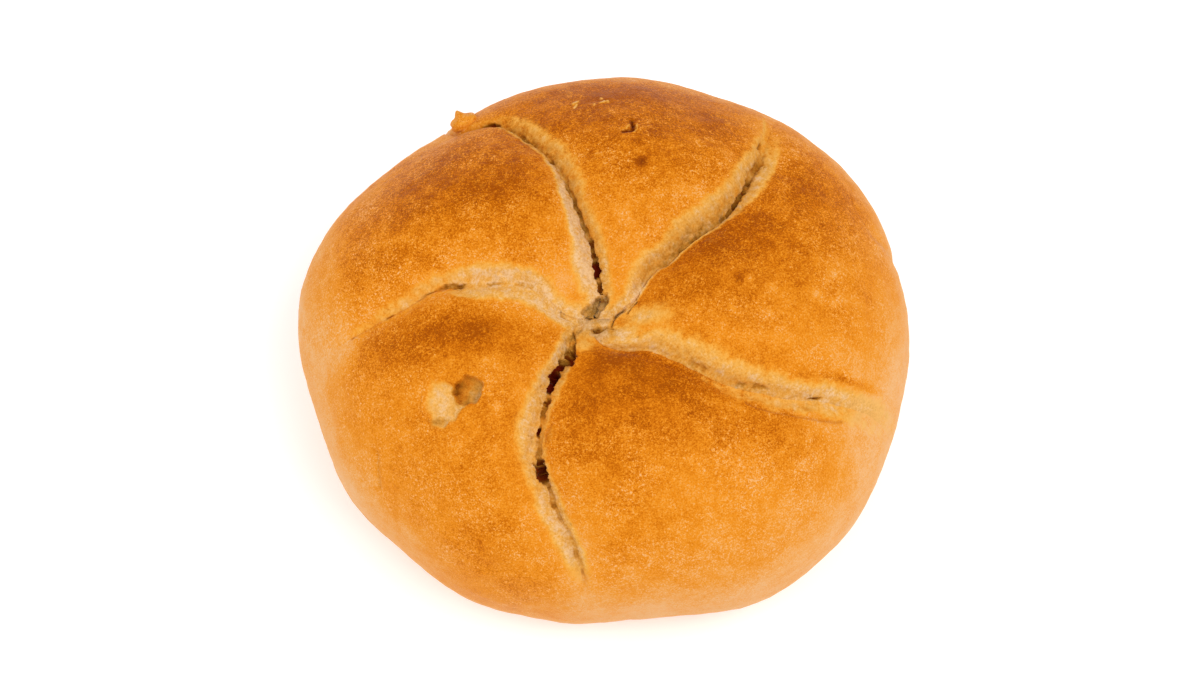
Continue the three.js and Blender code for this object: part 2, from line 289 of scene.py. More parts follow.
def profile(fall):
    """Share, height and outward normal (radial, vertical) of the smooth loaf.

    fall is 0 at the crown's middle, 1 at the girth, 2 at the base's edge.
    """
    drop = CROWN_HEIGHT - GIRTH_HEIGHT
    crown = fall <= 1
    turn = np.where(crown, fall, fall - 1) * math.pi / 2
    sine = np.clip(np.sin(turn), 0, 1)
    cosine = np.clip(np.cos(turn), 0, 1)
    share = np.where(crown, sine ** (2 / CROWN_POWER), lerp(BASE_SHARE, 1, cosine ** (2 / FLANK_POWER)))
    dome = GIRTH_HEIGHT + drop * cosine ** (2 / CROWN_POWER)
    flank = GIRTH_HEIGHT * (1 - sine ** (2 / FLANK_POWER))
    radial = np.where(crown, drop * sine, cosine)
    vertical = np.where(crown, OUTLINE_RADIUS * cosine, -sine)
    length = np.hypot(radial, vertical)
    return share, np.where(crown, dome, flank), radial / length, vertical / length


def fall_at(share):
    """Fall of the crown's row at a share."""
    return np.arcsin(share ** (CROWN_POWER / 2)) * 2 / math.pi


def wander(places, length, seed):
    """Smooth noise of about -1 to 1 along a line, changing over the given length."""
    return np.array([noise.noise(Vector((p / length, seed, 0.5))) for p in places])


def cloud(points, length, octaves, shift=0.0):
    """Fractal noise at points, changing over the given length."""
    offset = Vector((shift, shift, shift))
    flat = (points / length).reshape(-1, 3)
    values = [noise.fractal(Vector(p) + offset, 1.0, 2.0, octaves) for p in flat]
    return np.array(values).reshape(points.shape[:-1])


def layered(points, *layers):
    """Sum of noise layers, each given as its size, length, octaves and place in the noise."""
    return sum(size * cloud(points, length, octaves, shift) for size, length, octaves, shift in layers)


RAGGED = {"wave": 5.0, "swing": 0.25, "tooth": 1.1, "bite": 0.3, "least": 0.12}
WOBBLES = [{"length": 3.4, "size": 0.3}, {"length": 1.2, "size": 0.16}]
WOBBLE_OPENS = (3, 8)


def ragged(wall, run, seed):
    """A wall's width along its groove, uneven in long waves and short teeth."""
    swing = 1 + RAGGED["swing"] * wander(run, RAGGED["wave"], seed)
    bite = RAGGED["bite"] * np.minimum(wall, 1) * wander(run, RAGGED["tooth"], seed + 0.37)
    return np.maximum(wall * swing + bite, RAGGED["least"])


def wobble(run, seed):
    """How far a crease strays from its smooth curve, in degrees."""
    stray = sum(way["size"] * wander(run, way["length"], seed) for way in WOBBLES)
    return np.degrees(stray * smoothstep(run, *WOBBLE_OPENS) / np.maximum(run, WOBBLE_OPENS[0]))


def groove_rows(down):
    """Tables of row by groove: the crease's angle and depth, and its two sides' walls."""
    run = down * OUTLINE_RADIUS
    keys = ["angle", "floor", *((side, key) for side in SIDES for key in LIST_KEYS)]
    table = {key: [] for key in keys}
    for i, groove in enumerate(GROOVES.values()):
        fade = 1 - smoothstep(down, *groove["end"])
        table["angle"].append(along(groove["angles"], down) + fade * wobble(run, 5.3 * i + 9))
        table["floor"].append(along(groove["floor"], down) * fade)
        for k, side in enumerate(SIDES):
            for key in FADING_KEYS:
                table[side, key].append(along(groove[side][key], down) * fade)
            table[side, "soft"].append(along(groove[side]["soft"], down))
            wall = along(groove[side]["wall"], down)
            table[side, "wall"].append(ragged(wall, run, 3.1 * i + 1.7 * k))
    return {key: np.stack(columns, axis=1) for key, columns in table.items()}


class Side:
    """One side of the grooves as met by the petals next to it."""

    def __init__(self, table, index, side, distance):
        self.distance = distance
        self.floor = table["floor"][:, index]
        self.step = np.minimum(table[side, "step"][:, index], self.floor)
        self.wall = np.maximum(table[side, "wall"][:, index], LEAST_WALL)
        self.pale = table[side, "pale"][:, index]
        self.soft = table[side, "soft"][:, index]
        self.shade = table[side, "shade"][:, index]
        fixed = np.array([[groove[side][key] for groove in GROOVES.values()] for key in FIXED_KEYS])
        self.curve, self.round, self.shade_width = fixed[:, index]

    def cut(self):
        shoulder = (self.floor - self.step) * bell(self.distance, self.round, SHOULDER_ROUNDNESS)
        return shoulder + self.step * np.maximum(1 - self.distance / self.wall, 0) ** self.curve

    def paleness(self):
        """Full on the torn wall, running out over the crust beyond its crest."""
        return self.pale * bell(np.maximum(self.distance - self.wall, 0), self.soft)

    # Painted shade in the crease, fading over shade_width
    def darkness(self):
        return self.shade * bell(self.distance, self.shade_width)


def window(value, span, ease):
    rise = smoothstep(value, span[0] - ease, span[0] + ease)
    return rise * (1 - smoothstep(value, span[1] - ease, span[1] + ease))


def columns_across():
    """Place across its petal of every column, crowded towards the grooves."""
    part = np.arange(COLUMNS) % STEPS / STEPS
    return part**CROWDING / (part**CROWDING + (1 - part) ** CROWDING)


def row_falls():
    """Fall of every row, and how far each base row has gone in to the middle."""
    centre = fall_at(np.linspace(0, CENTRE["share"], CENTRE["rows"], endpoint=False))
    crown = np.linspace(fall_at(CENTRE["share"]), 1, CROWN_ROWS, endpoint=False)
    flank = np.linspace(1, 2, FLANK_ROWS + 1)
    fall = np.concatenate([centre, crown, flank, np.full(BASE_ROWS, 2.0)])
    inward = np.zeros_like(fall)
    inward[-BASE_ROWS:] = np.arange(1, BASE_ROWS + 1) / BASE_ROWS
    return fall, inward


def loaf_grid():
    """Points of the loaf, row by column, and the fields that its looks are made from."""
    fall, inward = row_falls()
    share, height, radial, vertical = (part[:, None] for part in profile(fall))
    down = np.where(fall <= 1, share[:, 0], fall)
    table = groove_rows(down)
    petal = np.arange(COLUMNS) // STEPS
    beyond = (petal + 1) % len(GROOVES)
    start = table["angle"][:, petal]
    end = table["angle"][:, beyond] + np.where(petal + 1 < len(GROOVES), 0, 360)
    petal_width = share * outline_radius(np.radians((start + end) / 2)) * np.radians(end - start)
    across = columns_across()
    near = Side(table, petal, "after", across * petal_width)
    far = Side(table, beyond, "before", (1 - across) * petal_width)

    angle = np.radians(lerp(start, end, across))
    radius = share * outline_radius(angle)
    opened = smoothstep(down, 0, SWELL["opens"]) * (1 - smoothstep(down, *SWELL["fades"]))
    foot = 1 - bell(np.minimum(near.distance, far.distance), SWELL["foot"])
    full = np.clip(4 * across * (1 - across), 0, 1) ** SWELL["fullness"]
    swell = SWELL["height"] * opened[:, None] * foot * full
    dimple = np.where(fall < 1, DIMPLE["depth"], 0)[:, None] * bell(radius, DIMPLE["radius"])
    uneven = 1 - smoothstep(fall, *LUMPS_END)
    bumps = uneven[:, None] * lumps(radius * np.cos(angle), radius * np.sin(angle))
    cut = np.cbrt(near.cut() ** 3 + far.cut() ** 3)
    out = swell + bumps - dimple - cut
    kept = 1 - inward[:, None]
    reach = (radius + out * radial) * kept
    rise = np.maximum(height + out * vertical, 0)
    points = np.stack([reach * np.cos(angle), reach * np.sin(angle), rise], axis=-1)
    closer = near.distance < far.distance
    fields = {
        "crumb": np.maximum(near.paleness(), far.paleness()),
        # Painted shade next to the creases; pits, cracks and lines add to it later
        "dark": np.maximum(near.darkness(), far.darkness()),
        "groove": np.where(closer, petal, beyond),
        "past": np.where(closer, near.distance, -far.distance),
        "down": np.broadcast_to(down[:, None], radius.shape),
        "fall": np.broadcast_to(fall[:, None], radius.shape),
        "base": np.broadcast_to(smoothstep(inward, *BASE_EDGE)[:, None], radius.shape),
    }
    return points, fields


def strides(fall, inward):
    """How many columns each row skips, so that facets don't crowd at the swirl and the base."""
    stride = np.ones(len(fall), int)
    share = profile(fall)[0]
    for limit, step in CROWN_THINNING:
        stride[(fall < 1) & (share < limit)] = step
    for limit, step in BASE_THINNING:
        stride[(inward > 0) & ((1 - inward) * BASE_SHARE < limit)] = step
    return stride


def fan(many, pair):
    """Triangles between a row of points and the two points that face its ends."""
    middle = len(many) // 2
    faces = [(many[k], many[k + 1], pair[0] if k < middle else pair[1]) for k in range(len(many) - 1)]
    return [*faces, (many[middle], pair[1], pair[0])]


def row_faces(upper, upper_count, lower, lower_count):
    """Faces between two rows of points, of which one may have a multiple of the other's count."""
    if upper_count == 1:
        return [(upper, lower + j, lower + (j + 1) % lower_count) for j in range(lower_count)]
    if lower_count == 1:
        return [(upper + j, lower, upper + (j + 1) % upper_count) for j in range(upper_count)]
    coarse = min(upper_count, lower_count)
    up = upper_count // coarse
    low = lower_count // coarse
    faces = []
    for j in range(coarse):
        above = [upper + (j * up + k) % upper_count for k in range(up + 1)]
        below = [lower + (j * low + k) % lower_count for k in range(low + 1)]
        if up == low:
            faces.append((*below, *reversed(above)))
        elif low > up:
            faces += fan(below, above)
        else:
            faces += [face[::-1] for face in fan(above, below)]
    return faces


# A torn lump of crust behind the back left groove's end; size is half its length round the rim, its
# height up the loaf and its thickness
FLAP = {"angle": 118.8, "share": 0.93, "size": (2.4, 2.5, 1.3), "out": 0.1, "fineness": 4, "boxy": 0.8}
FLAP_SPIKE = {"place": 0.1, "width": 0.2, "height": 1.2}
FLAP_UNEVEN = (0.3, 1.6, 3, 31)
FLAP_LOOKS = {
    "crumb": 0.3, "dark": 0, "groove": -1, "past": OUTLINE_RADIUS, "down": 1, "fall": 0.9, "base": 0,
}


def flap():
    """Points and faces of the torn lump."""
    details = bmesh.new()
    bmesh.ops.create_icosphere(details, subdivisions=FLAP["fineness"], radius=1)
    unit = np.array([vertex.co for vertex in details.verts])
    faces = [[vertex.index for vertex in face.verts] for face in details.faces]
    details.free()

    angle = np.radians(FLAP["angle"])
    away = np.array([np.cos(angle), np.sin(angle), 0])
    sideways = np.array([-np.sin(angle), np.cos(angle), 0])
    up = np.array([0, 0, 1])
    _, height, radial, vertical = profile(fall_at(FLAP["share"]))
    out = radial * away + vertical * up
    radius = FLAP["share"] * outline_radius(np.array([angle]))[0]
    middle = radius * away + height * up + FLAP["out"] * out

    lump = np.sign(unit) * np.abs(unit) ** FLAP["boxy"] * np.array(FLAP["size"])
    lump += unit * layered(lump, FLAP_UNEVEN)[:, None]
    spike = bell(unit[:, 0] - FLAP_SPIKE["place"], FLAP_SPIKE["width"]) * np.maximum(unit[:, 2], 0) ** 3
    lump[:, 2] += FLAP_SPIKE["height"] * spike
    return middle + lump @ np.array([sideways, np.cross(out, sideways), out]), faces


def grid_mesh(name, points, fields, stride):
    """A closed mesh from the grid; its first and last rows each become one point."""
    rows = len(points)
    kept = [np.arange(0, COLUMNS, stride[r]) for r in range(rows)]
    kept[0] = kept[-1] = np.array([0])
    starts = np.concatenate([[0], np.cumsum([len(k) for k in kept])])
    vertices = np.concatenate([points[r, kept[r]] for r in range(rows)])
    faces = []
    for r in range(rows - 1):
        faces += row_faces(starts[r], len(kept[r]), starts[r + 1], len(kept[r + 1]))
    lump, lump_faces = flap()
    faces += [[starts[-1] + i for i in face] for face in lump_faces]
    mesh = bpy.data.meshes.new(name)
    mesh.from_pydata(np.concatenate([vertices, lump]).tolist(), [], faces)
    for key, values in fields.items():
        loaf = [values[r, kept[r]] for r in range(rows)]
        set_field(mesh, key, np.concatenate([*loaf, np.full(len(lump), FLAP_LOOKS[key])]))
    return mesh


def set_field(mesh, name, values):
    layer = mesh.attributes.get(name) or mesh.attributes.new(name, "FLOAT", "POINT")
    layer.data.foreach_set("value", np.asarray(values, np.float32))


def get_field(mesh, name):
    values = np.empty(len(mesh.vertices), np.float32)
    mesh.attributes[name].data.foreach_get("value", values)
    return values.astype(float)


def get_vectors(items, key):
    values = np.empty(len(items) * 3, np.float32)
    items.foreach_get(key, values)
    return values.reshape(-1, 3).astype(float)


# Pits in plan from the swirl's centre: place, size, heading of their length, depth, how soft
# their edge is, how pale they are, and how dark the painted shade in them is
PIT_KEYS = ("place", "length", "width", "heading", "depth", "edge", "pale", "dark")
PIT_ROWS = {
    "blister": ((-25.7, -15.3), 8.6, 6.4, 105, 0.9, 0.15, 0.86, 0),
    "blister_tip": ((-22.7, -16.2), 3.8, 2.6, 40, 0.5, 0.4, 0.88, 0.06),
    "blister_end": ((-26, -18.3), 3.8, 2.4, 5, 0.5, 0.8, 0.75, 0.3),
    "pocket": ((-21.1, -13.8), 5.2, 5.4, 10, 1.3, 0.2, 0.3, 0.29),
    "bulge": ((-7.3, -20.7), 4.4, 2.6, 62, -0.5, 0.9, 0.25, 0.14),
    "hollow": ((-0.7, 0.9), 3.6, 3.1, 20, 0.8, 0.4, 0.9, 0.48),
    "hollow_middle": ((0.2, 1.8), 3.4, 2.7, 45, 0.8, 0.5, 0.9, 0.48),
    "hollow_end": ((1, 2.7), 3.7, 2.5, 55, 0.8, 0.4, 0.9, 0.5),
    "swirl_pit": ((0.5, -2.4), 2.6, 1.4, 0, 0.9, 0.4, 0.6, 0.75),
}
# What is stronger towards one side of a pit: the side's heading, and how much
PIT_SIDES = {
    "blister": {"soft_side": (150, 0.4)},
    # The pocket's dark side is painted shade along its upper left wall
    "pocket": {"pale_side": (330, 0.65), "dark_side": (150, 1.2)},
}
PITS = [dict(zip(PIT_KEYS, row), **PIT_SIDES.get(name, {})) for name, row in PIT_ROWS.items()]
PIT_WAVES = [(2, 0.05, 1.1), (5, 0.06, 0.4), (9, 0.04, 0)]  # of its edge: count, size and turn
PIT_BOWL = 0.3  # how much shallower a pit is at its edge
PIT_RIM = 1.02  # where a pit ends, as a share of its radius
PIT_MOTTLE = (0.6, 0.9, 3, 51)
PULL = 0.3  # how far from a pit's edge points are drawn onto it, as a share of its radius
PULL_FROM = 0.2  # points nearer to its middle stay


def pit_places(pit, points):
    """Distance from a pit's middle at every point, 1 at its uneven edge, and the way out from it."""
    heading = math.radians(pit["heading"])
    dx = points[:, 0] - pit["place"][0]
    dy = points[:, 1] - pit["place"][1]
    run = dx * math.cos(heading) + dy * math.sin(heading)
    side = dy * math.cos(heading) - dx * math.sin(heading)
    turn = np.arctan2(side / pit["width"], run / pit["length"])
    uneven = 1 + sum(size * np.sin(count * turn + start) for count, size, start in PIT_WAVES)
    reach = np.hypot(2 * run / pit["length"], 2 * side / pit["width"]) / uneven
    return reach, np.stack([dx, dy], axis=-1)


def lopsided(turn, side):
    """An amount that is all on one side, given as its heading and amount."""
    if side is None:
        return 0
    heading, amount = side
    return amount * np.clip(0.5 + 0.5 * np.cos(turn - math.radians(heading)), 0, 1) ** 2


def sink_pits(points, normals, fields):
    """Sinks the burst blister and the swirl's small holes, with points drawn onto their edges and painted
    shade in them.
    """
    upper = points[:, 2] > GIRTH_HEIGHT
    sunk = np.zeros(len(points))
    mottle = 1 + layered(points, PIT_MOTTLE)
    for pit in PITS:
        reach, way = pit_places(pit, points)
        off = reach - 1
        close = upper & (np.abs(off) < PULL) & (reach > PULL_FROM)
        drawn = off * np.abs(off) / PULL
        factor = np.where(close, (1 + drawn) / np.maximum(reach, 1e-6), 1.0) - 1
        points[:, :2] += way * factor[:, None]
        reach, way = pit_places(pit, points)
        turn = np.arctan2(way[:, 1], way[:, 0])
        edge = pit["edge"] + lopsided(turn, pit.get("soft_side"))
        inside = np.where(upper, 1 - smoothstep(reach, 1 - edge, PIT_RIM), 0)
        bowl = 1 - PIT_BOWL * np.clip(reach, 0, 1) ** 2
        depth = pit["depth"] * inside * bowl
        further = np.where(depth > 0, np.maximum(depth - sunk, 0), depth)
        sunk = np.maximum(sunk, depth)
        points -= normals * further[:, None]
        pale = pit["pale"] + lopsided(turn, pit.get("pale_side"))
        fields["crumb"] = lerp(fields["crumb"], pale, inside)
        # Painted shade in the pits, stronger on the pocket's upper left side
        dark = pit["dark"] * (1 + lopsided(turn, pit.get("dark_side")) * np.minimum(reach, 1))
        fields["dark"] = np.maximum(fields["dark"], inside * dark * mottle)


TEAR = {"size": 0.55, "swing": 0.8, "reach": 3.0, "crumb": 0.45, "edge": (0.6, 1.15)}
STRAY = {"size": 0.3, "length": 1.3}  # how far a hole strays from its line, and over what length
FRAY = (0.22, 1.3, 3, 7)


def near_crack(crack, fields, ease):
    """Which points are close enough to a crack to be torn by it."""
    span = crack["span"]
    same = np.abs(fields["groove"] - crack["groove"]) < 0.01
    inside = (fields["down"] > span[0] - ease) & (fields["down"] < span[1] + ease)
    return same & inside & (np.abs(fields["past"] - crack["offset"]) < TEAR["reach"])


def tear_cracks(points, normals, fields):
    """Opens the torn holes along the creases, with ragged edges and painted shade in them."""
    for seed, crack in enumerate(CRACKS):
        chosen = np.flatnonzero(near_crack(crack, fields, CRACK_EASE))
        down = fields["down"][chosen]
        run = down * OUTLINE_RADIUS
        past = fields["past"][chosen]
        dashes = smoothstep(wander(run, DASH["length"], 3.7 * seed), DASH["from"], DASH["to"])
        part = window(down, crack["span"], CRACK_EASE) * lerp(1, dashes, crack["dashed"])
        middle = crack["offset"] + STRAY["size"] * wander(run, STRAY["length"], 2.3 * seed + 1)
        uneven = cloud(np.stack([run, past, np.full_like(run, seed)], axis=-1), TEAR["size"], 2)
        gap = np.abs(past - middle) / crack["half"] + TEAR["swing"] * uneven
        hole = part * (1 - smoothstep(gap, *TEAR["edge"]))
        points[chosen] -= normals[chosen] * (crack["depth"] * hole)[:, None]
        # Painted shade in the holes, over a yellower crumb
        fields["dark"][chosen] = np.maximum(fields["dark"][chosen], crack["dark"] * hole)
        fields["crumb"][chosen] = lerp(fields["crumb"][chosen], TEAR["crumb"], hole * crack["dark"])


def fray(points, fields):
    """Makes the edge of the pale walls uneven."""
    edge = 4 * fields["crumb"] * (1 - np.minimum(fields["crumb"], 1))
    fields["crumb"] = np.clip(fields["crumb"] + edge * layered(points, FRAY), 0, 1)


FIBRES = {"width": 1.1, "length": 2.2, "shade": 0.08, "depth": 0.05}


def fibres(fields):
    """Streaks that cross the torn walls, -1 to 1."""
    run = fields["down"] * OUTLINE_RADIUS / FIBRES["width"]
    across = fields["past"] / FIBRES["length"]
    return cloud(np.stack([run, across, fields["groove"]], axis=-1), 1.0, 2)


# Lines in plan: cracks (depth above 0) and strings (below 0). half is half their width. A crack's
# dark is mostly painted shade in it.
LINE_KEYS = ("path", "half", "depth", "pale", "dark")
RIDGE_CRACK = [
    (25.2, -14.6), (27, -15.3), (30, -15.8), (34, -15.9), (37.5, -15.9), (40.5, -15.5), (41.6, -15.1),
]
LINE_ROWS = [
    ([(2.7, -1.7), (2.95, -0.9), (3.2, -0.2), (3.9, 0.6), (4.7, 1.1), (5.2, 1.9)], 0.16, 0.6, 0.6, 0.6),
    ([(5.4, 0.6), (5.8, 1.3), (6.3, 2.1), (7, 2.6)], 0.13, 0.4, 0.6, 0.5),
    ([(1.3, -2.1), (2.2, -1.9), (3, -2.2)], 0.18, 0.5, 0.6, 0.5),
    ([(-3.6, -2.7), (-3.5, -3.6), (-3.3, -4.4)], 0.17, 0.5, 0.6, 0.55),
    ([(5, 2), (6, 3), (7, 4.3), (7.8, 5.2)], 0.5, -0.35, 1, 0),
    ([(-2.5, -0.9), (0.2, -1), (2.2, -0.7)], 0.6, -0.4, 1, 0.27),
    ([(-0.8, -3), (0.5, -3.5), (1.7, -3)], 0.45, -0.3, 1, 0.28), (RIDGE_CRACK, 0.24, 0.3, 0, 0.17),
    ([(6.3, 36.2), (6.4, 35.2)], 0.28, 0.4, 0, 0.9), ([(6.45, 35), (6.5, 34.2)], 0.42, 0.5, 0, 0.9),
    ([(6.3, 33.9), (4.8, 33.6)], 0.34, 0.4, 0, 0.9), ([(5.8, 35), (5.3, 34.3)], 0.22, -0.2, 0.8, 0),
    ([(7.05, 34.9), (7.1, 34.1), (6.6, 33.4)], 0.2, -0.2, 0.7, 0),
    ([(-3.8, 41.3), (-3.1, 41.9)], 0.25, -0.12, 1, 0), ([(-3.2, 41.1), (-3.6, 40.2)], 0.2, -0.1, 1, 0),
    ([(1, 42.5), (1.1, 42.2)], 0.2, -0.1, 1, 0), ([(0.9, 41.2), (1.6, 41.4)], 0.22, -0.1, 1, 0),
    ([(2.1, 41.6), (2.2, 41.2)], 0.17, -0.1, 1, 0), ([(-0.2, 40.9), (-0.1, 40.5)], 0.17, -0.1, 0.9, 0),
    ([(28.2, 34), (28.6, 35.2)], 0.25, 0.4, 0, 0.5),
    ([(28.8, 35.6), (29.4, 38.2), (29.5, 42)], 0.4, 0.15, 0.6, 0),
    ([(48.5, 19.8), (50.5, 19.2), (53, 18.4)], 1.1, 0.5, 0, 0.03),
    ([(-36.5, -20.8), (-36.6, -23), (-36.4, -25.3)], 0.2, 0.3, 0, 0.06),
]
LINES = [dict(zip(LINE_KEYS, row)) for row in LINE_ROWS]


def line_gap(points, path):
    """Distance in plan from every point to a path."""
    gap = np.full(len(points), np.inf)
    for start, end in zip(path, path[1:]):
        start = np.array(start)
        step = np.array(end) - start
        way = points[:, :2] - start
        part = np.clip(way @ step / (step @ step), 0, 1)
        gap = np.minimum(gap, np.linalg.norm(way - part[:, None] * step, axis=1))
    return gap


def draw_lines(points, normals, fields):
    """Sinks or raises the lines, and gives them their tones, mostly painted shade in the cracks."""
    upper = points[:, 2] > GIRTH_HEIGHT
    for line in LINES:
        mark = np.where(upper, bell(line_gap(points, line["path"]), line["half"]), 0)
        points -= normals * (line["depth"] * mark)[:, None]
        fields["crumb"] = lerp(fields["crumb"], np.maximum(fields["crumb"], line["pale"]), mark)
        fields["dark"] = np.maximum(fields["dark"] * (1 - mark * (line["depth"] < 0)), mark * line["dark"])


PATCH_FADE = (5, 17)  # heights between which patches of tone rise to their full strength

# Pale and dark patches in plan: x, y, half width, half depth, and tone
CREAM_PATCHES = [
    (-1.2, -1.4, 3.6, 2.6, 1), (4.4, -3.4, 3.8, 2.3, 0.92), (-1.8, -5, 1.9, 1.5, 0.7),
    (0, 3.5, 2.2, 3.5, 0.8), (8.5, -0.4, 4.8, 2.2, 0.82),
]
DARK_PATCHES = [
    (-1, -2.2, 4, 2.4, 0.22), (1.4, -2.9, 2.2, 1.3, 0.32), (35.5, -14.3, 0.9, 0.4, 0.25),
    (6.3, -18.7, 0.5, 0.3, 0.3), (6.6, -25.2, 0.3, 0.4, 0.35), (8, 27.2, 0.6, 0.7, 0.4),
]


def patch_at(points, x, y, width, depth):
    """How far a soft patch covers each point, 1 in its middle."""
    across = (points[:, 0] - x) / width
    back = (points[:, 1] - y) / depth
    return smoothstep(points[:, 2], *PATCH_FADE) * np.exp(-across * across - back * back)


def tint_patches(points, fields):
    for key, patches in (("crumb", CREAM_PATCHES), ("dark", DARK_PATCHES)):
        for *patch, amount in patches:
            fields[key] = np.maximum(fields[key], amount * patch_at(points, *patch))


REFINE = {"cuts": 2, "margin": 0.9, "least_area": 0.06}
REFINE_CRACKS = {"dark": 0.7, "margin": 1.3, "ease": 0.02, "least_length": 0.2}


def refine(mesh):
    """Splits the faces near small details, which the grid is too coarse for."""
    details = bmesh.new()
    details.from_mesh(mesh)
    centres = np.array([face.calc_center_median() for face in details.faces])
    areas = np.array([face.calc_area() for face in details.faces])
    wanted = np.zeros(len(centres), bool)
    for line in LINES:
        wanted |= line_gap(centres, line["path"]) < line["half"] + REFINE["margin"]
    for pit in PITS:
        reach, _ = pit_places(pit, centres)
        wanted |= np.abs(reach - 1) * pit["width"] / 2 < REFINE["margin"]
    wanted &= (areas > REFINE["least_area"]) & (centres[:, 2] > GIRTH_HEIGHT)
    details.faces.ensure_lookup_table()
    edges = {edge for i in np.flatnonzero(wanted) for edge in details.faces[i].edges}
    bmesh.ops.subdivide_edges(details, edges=list(edges), cuts=REFINE["cuts"], use_grid_fill=True)
    refine_cracks(details)
    details.to_mesh(mesh)
    details.free()


def refine_cracks(details):
    """Splits the lengthwise edges of the faces along the dark cracks."""
    layers = {key: details.verts.layers.float[key] for key in ("groove", "past", "down")}
    details.verts.ensure_lookup_table()
    fields = {key: np.array([vertex[layer] for vertex in details.verts]) for key, layer in layers.items()}
    wanted = np.zeros(len(details.verts), bool)
    for crack in CRACKS:
        if crack["dark"] > REFINE_CRACKS["dark"]:
            gap = np.abs(fields["past"] - crack["offset"]) - crack["half"]
            wanted |= near_crack(crack, fields, REFINE_CRACKS["ease"]) & (gap < REFINE_CRACKS["margin"])
    details.verts.index_update()
    edges = []
    for edge in details.edges:
        first, second = (vertex.index for vertex in edge.verts)
        length = abs(fields["down"][first] - fields["down"][second]) * OUTLINE_RADIUS
        if wanted[first] and wanted[second] and length > REFINE_CRACKS["least_length"]:
            edges.append(edge)
    bmesh.ops.subdivide_edges(details, edges=edges, cuts=1, use_grid_fill=True)


CRUMB_RELIEF = [(0.2, 1.7, 3, 0), (0.12, 0.7, 2, 4)]
CRUST_RELIEF = [(0.2, 9, 2, 11), (0.1, 2.4, 3, 23)]
RELIEF_END = (1.7, 1.95)  # falls between which the relief runs out
TORN = (0.4, 0.85)  # palenesses between which crust turns into crumb


def roughen(points, normals, fields):
    """Adds the uneven surface: crumb on the torn walls, low bubbles on the crust."""
    standing = 1 - smoothstep(fields["fall"], *RELIEF_END)
    torn = smoothstep(fields["crumb"], *TORN) * standing
    crumb = layered(points, *CRUMB_RELIEF) - FIBRES["depth"] * fields["fibre"]
    crust = layered(points, *CRUST_RELIEF)
    lift = torn * crumb + (1 - torn) * standing * crust
    points += normals * lift[:, None]


# Browning, with painted shade on the lower front rim. Patches in plan from the swirl's centre: x, y,
# half width, half depth, and how much darker
BROWN_AND_SHADE_PATCHES = [
    (7.5, -7, 7, 2.2, 0.24), (18, 28, 4, 5, 0.1), (-10, 36, 5, 4, 0.22), (-13, 22, 5, 3, 0.1),
    (38, 28, 6, 6, 0.2), (1.5, -8.5, 4.5, 2.5, 0.16), (27, -14.5, 8, 2.2, -0.1),
    (-2.5, -37, 3.5, 6, -0.2), (21, 38, 6, 4, 0.18), (-6, -5.5, 3, 2.5, 0.1), (48, -16, 5, 4, -0.26),
    (11, 2.5, 3, 2, 0.14), (23, 8, 3.5, 3, -0.1), (29, 18, 4, 3, 0.1), (-39, -18, 5, 4, -0.04),
    (-37.5, -7.5, 4, 3, 0.1), (-12.5, -19, 2, 2, 0.1), (-4.5, 6, 2, 2.5, -0.15), (-12.7, 6, 4, 3, -0.2),
    (27, -4, 6, 2, -0.1), (-3.2, -17, 2.5, 5, 0.12), (11, 17, 5, 5, -0.14), (31, -31, 7, 6, -0.12),
    (-30, -14.5, 4, 5, -0.08), (-42, -3, 3, 4, -0.1), (11, 33.5, 5, 3, 0.17), (33, 31, 4, 3, -0.06),
    (4, 44, 20, 5, 0.42), (2, 37, 16, 4, 0.2), (6, 27, 10, 8, 0.08), (16, 22, 6, 6, -0.18),
    (12, 31, 14, 5, 0.1), (6, 10, 5, 6, -0.15), (-6, 7, 4, 5, -0.12), (-14, 29, 8, 7, 0.16),
    (-25, 25, 12, 6, 0.28), (-17, 21, 9, 4, 0.12), (-36, 16, 8, 9, 0.17), (-30, 33, 14, 5, 0.15),
    (-46, 6, 5, 9, -0.15), (-27, -3, 12, 4.5, 0.42), (-12, -0.5, 5, 3, -0.22), (-40, -6, 9, 12, -0.08),
    (-36.5, -6, 4, 4, 0.12), (-18, -4, 8, 4, 0.17), (20.5, 12, 12, 7, 0.4), (33, 22, 10, 8, 0.14),
    (36, 7, 6, 6, -0.1), (28, 3, 9, 5, 0.07), (33, 17, 8, 5, 0.06), (13, -11, 11, 4, 0.26),
    (2, -8, 4, 3, 0.16), (18, -15, 20, 6, 0.18), (-1, -19, 6, 8, 0.2), (9, -24, 6, 5, 0.13),
    (17, -29, 5, 5, -0.15), (-29, -40, 13, 8, 0.21), (-14, -46, 13, 6, 0.34), (12, -44, 16, 5, 0.05),
    (25, -33, 16, 8, -0.06), (35, -23, 5, 5, 0.08), (42, -4, 9, 7, -0.12), (41, -17, 9, 9, -0.2),
    (51, -8, 6, 18, -0.14), (43, -8.7, 4.5, 0.6, 0.4), (36.5, -9.3, 4, 0.7, 0.15),
    (8, 27.2, 1, 1.1, 0.7), (6.8, 31.4, 1.2, 0.8, 0.3), (24.1, 5.8, 0.8, 0.8, 0.35),
    (40.3, 9, 0.9, 0.8, -0.3), (37.3, 4.7, 0.9, 0.7, -0.3), (29.7, 4.9, 0.7, 0.7, -0.3),
    (29.2, 0.2, 0.8, 0.7, -0.3), (23, 0.3, 0.7, 0.6, -0.25), (26, 6.1, 0.6, 0.6, -0.3),
    (43.5, 4.6, 2, 1, -0.2), (40, 3.6, 1.2, 0.7, -0.2), (-27.8, 23.7, 2, 0.8, -0.25),
    (-33.6, 14.4, 2.5, 1, -0.2), (-18.1, -8.8, 0.7, 0.6, -0.3), (-16.2, -16.8, 0.6, 0.7, -0.3),
]
